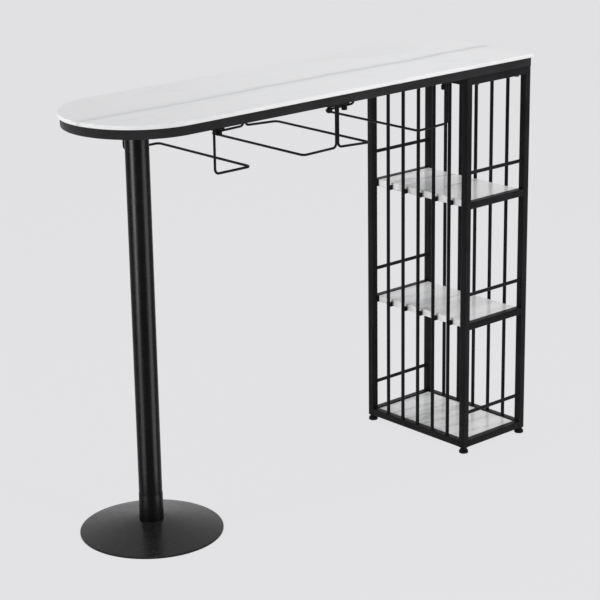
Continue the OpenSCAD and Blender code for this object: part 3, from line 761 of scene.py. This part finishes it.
def bent_rack(leg_x, run_x, top_z, run_z, tilt):
    """Skin of a rack: one wire down the front leg, out along the reach, across the table
    and back up the rear leg, with bends between. The reaches fall from the legs to the
    run by the tangent of tilt, in degrees."""
    bend_z = run_z + abs(run_x - leg_x) * math.tan(math.radians(tilt))
    corners = [(leg_x, -leg_y, top_z), (leg_x, -leg_y, bend_z), (run_x, -leg_y, run_z),
               (run_x, leg_y, run_z), (leg_x, leg_y, bend_z), (leg_x, leg_y, top_z)]
    return skin(wire(eased(corners, wire_bend, 14)))


def weld_collar(x, y, top_z):
    """Skin of the ring of weld between a wire's end and the plate over it. It reaches
    half way into the wire."""
    low_z = top_z - 2 * leg_weld
    line = weld_line(wire_r, low_z, top_z, leg_weld, (False, True))
    hidden = [[wire_r * 0.5, top_z], [wire_r * 0.5, low_z]]
    return skin(turned(np.concatenate([line, hidden]), x, y, 32), closed=True)


leg_xs = {}
for place, way, tilt in (("left", 1, 0), ("middle_left", -1, 1),
                         ("middle_right", 1, 3), ("right", -1, 2)):
    low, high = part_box(f"rack_{place}")
    near, far = low.x + wire_r, high.x - wire_r
    leg_x, run_x = (near, far) if way > 0 else (far, near)
    leg_xs[place] = leg_x
    rack = add_piece(f"wire_rack_{place}", frame_coat, [
        bent_rack(leg_x, run_x, high.z, low.z + wire_r, tilt),
        weld_collar(leg_x, -leg_y, high.z), weld_collar(leg_x, leg_y, high.z)])
    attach(rack, "table")
    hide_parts(f"rack_{place}")


# ---- Rack plates and thumb screws
# Flat steel plates with rounded corners are welded on the legs' upper ends. Fluted black
# plastic knobs on M6 studs clamp the plates up against the rim.

plates_low, plates_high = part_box("rack_plates")
thumb_low, thumb_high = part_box("thumb_screws")
thumb_pitch = 15.5 * MM
thumb_mid_pitch = 22 * MM
thumb_xs = [leg_xs["left"] + thumb_pitch, leg_xs["middle_left"] - thumb_mid_pitch,
            leg_xs["middle_right"] + thumb_mid_pitch, leg_xs["right"] - thumb_pitch]
strip_end = 10 * MM
strip_width = 24 * MM
strip_corner = 4 * MM
strip_ease = 0.4 * MM
strip_spans = [(leg_xs["left"], thumb_xs[0]), (thumb_xs[1], thumb_xs[2]),
               (thumb_xs[3], leg_xs["right"])]
strips = []
for first, last in strip_spans:
    for side in (-1, 1):
        edge = side * plates_high.y
        near, far = sorted((edge, edge - side * strip_width))

        def strip_outline(inset):
            """Outline of this plate, inset from its edge."""
            x0, x1 = first - strip_end + inset, last + strip_end - inset
            y0, y1 = near + inset, far - inset
            return eased([(x0, y0), (x1, y0), (x1, y1), (x0, y1)], strip_corner - inset, 9,
                         closed=True)

        strips.append(skin(board(strip_outline, plates_low.z, plates_high.z, strip_ease)))
rack_strips = add_piece("rack_strips", frame_coat, strips)
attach(rack_strips, "table")
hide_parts("rack_plates")

black_plastic, shader = new_shader("black_plastic", Specular_IOR_Level=0.1)
tree = black_plastic.node_tree
tree.links.new(blend_colours(tree, noise(tree, 80, 3), (0.003, 0.003, 0.003, 1),
                             (0.007, 0.007, 0.007, 1)), shader.inputs["Base Color"])
tree.links.new(uneven(tree, 250, 3, 0.42, 0.56), shader.inputs["Roughness"])
add_bump(tree, shader, noise(tree, 1500, 2), 0.2, 0.1 * MM)

knob_r = 7.5 * MM
knob_neck_r = 5.8 * MM
knob_neck_h = 4 * MM
shank_r = 3 * MM


def fluted(angle):
    """Scale of a grip with twelve flutes: one, less a tenth in each flute's middle."""
    return (1 - 0.1 * (0.5 + 0.5 * np.cos(12 * angle)) ** 2)[None, :]


def thumb_screw(x, y):
    """Rings of a knob on its shank: a dished face, a fluted grip, a plain neck under the
    plate, and the shank up into the rim."""
    face, seat = thumb_low.z, plates_low.z
    neck = seat - knob_neck_h
    grip = eased([(4 * MM, face + 0.8 * MM), (5 * MM, face), (knob_r, face),
                  (knob_r, neck), (knob_neck_r, neck)],
                 [0, 0.4 * MM, 1.5 * MM, 1.2 * MM, 0], 6)
    stem = [grip[-1], (knob_neck_r, seat), (shank_r, seat), (shank_r, thumb_high.z)]
    return np.concatenate([turned(grip[:1], x, y), turned(grip[1:-1], x, y, lobes=fluted),
                           turned(stem, x, y)])


knobs = add_piece("rack_knobs", black_plastic, [
    skin(thumb_screw(x, side * leg_y)) for x in thumb_xs for side in (-1, 1)])
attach(knobs, "table")
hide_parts("thumb_screws")


# ---- Levelling feet
# A plastic plug with a thread sits in each post's lower end. A blackened stud with a
# hexagon screws into it and stands in a ribbed plastic pad that swivels on its end.

paint_solids(black_plastic, "post_inserts")

stud_r = 4 * MM
stud_pitch = 1.25 * MM
stud_flats = 17 * MM
hex_low, hex_high = 9.6 * MM, 12.9 * MM
rib_count = 28
pad_points = 6 * rib_count
pad_edge_z = 6 * MM
pad_top_r = 11 * MM
pad_bore = stud_r + 0.05 * MM
pad_floor = 2.5 * MM
pad_sole_inset = 2.5 * MM


def threaded(radius, pitch, low, high, x, y):
    """Rings of a screw thread: the radius falls by 0.6 pitch between two crests, along
    a triangle wave whose phase is height / pitch - angle / turn. Both ends run out
    over one pitch into a small chamfer."""
    height = np.linspace(low, high, round((high - low) / pitch * 8))[:, None]
    angle = np.linspace(0, 2 * np.pi, screw_points, endpoint=False)[None, :]
    wave = np.abs(2 * ((height / pitch - angle / (2 * np.pi)) % 1) - 1)
    near_end = np.clip(np.minimum(height - low, high - height) / pitch, 0, 1)
    r = radius - 0.6 * pitch * np.maximum(wave, 1 - near_end)
    return np.stack([x + r * np.cos(angle), y + r * np.sin(angle),
                     np.broadcast_to(height, r.shape)], -1)


def ribbed(angle):
    """Scale of a pad's edge, whose shallow ribs stand out to the full radius."""
    return (1 - 0.035 * (0.5 + 0.5 * np.cos(rib_count * angle)))[None, :]


for corner in corner_names:
    low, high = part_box(f"stud_{corner}")
    x, y = (low.x + high.x) / 2, (low.y + high.y) / 2
    stud = add_piece(f"levelling_stud_{corner}", black_oxide, [skin(np.concatenate([
        around(stud_r - 0.4 * MM, low.z, x, y), around(stud_r, low.z + 0.5 * MM, x, y),
        around(stud_r, hex_low, x, y),
        hex_rings(stud_flats, hex_low + 0.4 * MM, hex_high, x, y),
        around(stud_r - 0.7 * MM, hex_high, x, y),
        threaded(stud_r, stud_pitch, hex_high + 0.1 * MM, high.z, x, y)]))])
    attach(stud, f"foot_{corner}")
    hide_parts(f"stud_{corner}")

    low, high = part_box(f"pad_{corner}")
    pad_r = (high.x - low.x) / 2
    edge = eased([(pad_r - 0.6 * MM, 0), (pad_r, 0.6 * MM), (pad_r, pad_edge_z),
                  (pad_top_r, high.z)], [0, 0.3 * MM, 0.8 * MM, 0], 5)
    top = [(pad_top_r, high.z), (pad_bore + 0.3 * MM, high.z),
           (pad_bore, high.z - 0.3 * MM), (pad_bore, pad_floor)]
    pad = add_piece(f"levelling_pad_{corner}", black_plastic, [skin(np.concatenate([
        turned([(pad_r - pad_sole_inset, 0.0)], x, y, pad_points),
        turned(edge[:-1], x, y, pad_points, ribbed), turned(top, x, y, pad_points)]))])
    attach(pad, f"sole_{corner}")
    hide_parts(f"pad_{corner}")


# ---- Floor and backdrop
# A plain pale grey studio floor. Camera, glossy and transmission rays see most of it as
# an even grey, and the rest is plain paint, so that the table's soft shadow stays.

backdrop_grey = (0.7605, 0.753, 0.776, 1)


def seen_rays(tree):
    """1 for camera, glossy and transmission rays, and 0 for the rays that light."""
    path = add_node(tree, "LightPath").outputs
    seen = calc(tree, "MAXIMUM", path["Is Camera Ray"], path["Is Glossy Ray"])
    return calc(tree, "MAXIMUM", seen, path["Is Transmission Ray"])


floor_size = 60.0
grid = np.array([(-1, -1), (1, -1), (1, 1), (-1, 1)]) * floor_size / 2
floor_mesh = bpy.data.meshes.new("floor")
floor_mesh.from_pydata(np.column_stack([grid, np.zeros(4)]).tolist(), [], [(0, 1, 2, 3)])
floor = bpy.data.objects.new("floor", floor_mesh)
bpy.context.scene.collection.objects.link(floor)
paint = bpy.data.materials.new("floor_paint")
paint.use_nodes = True
tree = paint.node_tree
tree.nodes.remove(tree.nodes["Principled BSDF"])
matt = add_node(tree, "BsdfDiffuse", {"Color": (0.58, 0.58, 0.59, 1)})
even = add_node(tree, "Emission", {"Color": backdrop_grey, "Strength": 1.02})
share = calc(tree, "MULTIPLY", seen_rays(tree), 0.96)
mixed = add_node(tree, "MixShader", {0: share, 1: matt.outputs[0], 2: even.outputs[0]})
tree.links.new(mixed.outputs[0], tree.nodes["Material Output"].inputs["Surface"])
floor_mesh.materials.append(paint)

world = bpy.data.worlds.new("studio")
bpy.context.scene.world = world
world.use_nodes = True
tree = world.node_tree
fill_light = add_node(tree, "Background", {"Color": (0.96, 0.98, 1.0, 1), "Strength": 0.34})
backdrop = add_node(tree, "Background", {"Color": backdrop_grey, "Strength": 1.0})
mixed = add_node(tree, "MixShader", {0: seen_rays(tree), 1: fill_light.outputs[0],
                                     2: backdrop.outputs[0]})
tree.links.new(mixed.outputs[0], tree.nodes["World Output"].inputs["Surface"])


# ---- Lamps
# Three soft boxes light the matt surfaces: a narrow upright one on either side of the
# camera and a wide weak one overhead. Three narrow reflectors beside the column draw its
# bright lines, and the leaning one makes the left line brighter toward the top.

def soft_box(name, place, aim, size, power, mirrored_in=()):
    """A rectangular area lamp at place that faces aim, and isn't seen itself. size is its
    width and height. One that is mirrored in pieces lights nothing but their gloss, and
    the others light matt surfaces only."""
    lamp = bpy.data.lights.new(name, "AREA")
    lamp.shape, lamp.energy = "RECTANGLE", power
    lamp.size, lamp.size_y = size
    made = bpy.data.objects.new(name, lamp)
    back = np.subtract(place, aim) / np.linalg.norm(np.subtract(place, aim))
    side = np.cross((0, 0, 1), back)
    side = side / np.linalg.norm(side)
    made.matrix_world = Matrix(np.row_stack([
        np.column_stack([side, np.cross(back, side), back, place]), [0, 0, 0, 1]]).tolist())
    made.visible_camera = False
    made.visible_glossy, made.visible_diffuse = bool(mirrored_in), not mirrored_in
    if mirrored_in:
        receivers = bpy.data.collections.new(f"{name}_receivers")
        for piece in mirrored_in:
            receivers.objects.link(piece)
        made.light_linking.receiver_collection = receivers
    bpy.context.scene.collection.objects.link(made)


column_middle = (-0.513, 0.0, 0.5)
column_foot = (-0.513, 0.0, 0.15)
soft_box("left_soft_box", (-3.7, 0.75, 1.7), (-0.5, 0.0, 0.9), (0.4, 2.2), 97)
soft_box("right_soft_box", (0.3, -3.4, 1.6), (-0.2, 0.0, 0.8), (0.55, 2.2), 80)
soft_box("top_soft_box", (1.0, -0.2, 3.6), (0.2, 0.0, 1.0), (3.2, 2.2), 48)
soft_box("left_reflector", (-0.842, -0.01, 0.5), column_middle, (0.19, 1.0), 5.2,
         mirrored_in=(column_pipe, foot_sleeve))
soft_box("leaning_reflector", (-1.133, -0.02, 0.62), column_foot, (0.19, 0.94), 11,
         mirrored_in=(column_pipe,))
soft_box("right_reflector", (-0.381, -0.304, 0.5), column_middle, (0.19, 1.0), 6.2,
         mirrored_in=(column_pipe, foot_sleeve))


# ---- Camera
# A long lens from the front left, a little above the top, as in the photograph. The
# angles are in radians, and the focal length is given as a share of the picture's width.

camera_place = (-3.374237, -3.826316, 2.107942)
camera_yaw = 0.724030068
camera_pitch = 0.303727258
camera_roll = -0.0153336776
focal_share = 2001.99 / 600

ahead = np.array([math.sin(camera_yaw) * math.cos(camera_pitch),
                  math.cos(camera_yaw) * math.cos(camera_pitch), -math.sin(camera_pitch)])
level = np.array([math.cos(camera_yaw), -math.sin(camera_yaw), 0.0])
rise = np.cross(level, ahead)
right = math.cos(camera_roll) * level + math.sin(camera_roll) * rise
above = -math.sin(camera_roll) * level + math.cos(camera_roll) * rise
lens = bpy.data.cameras.new("camera")
lens.sensor_width = 36.0
lens.lens = lens.sensor_width * focal_share
lens.clip_end = 200.0
camera = bpy.data.objects.new("camera", lens)
camera.matrix_world = Matrix(np.row_stack([
    np.column_stack([right, above, -ahead, camera_place]), [0, 0, 0, 1]]).tolist())
bpy.context.scene.collection.objects.link(camera)
bpy.context.scene.camera = camera
bpy.context.scene.view_settings.view_transform = "Standard"
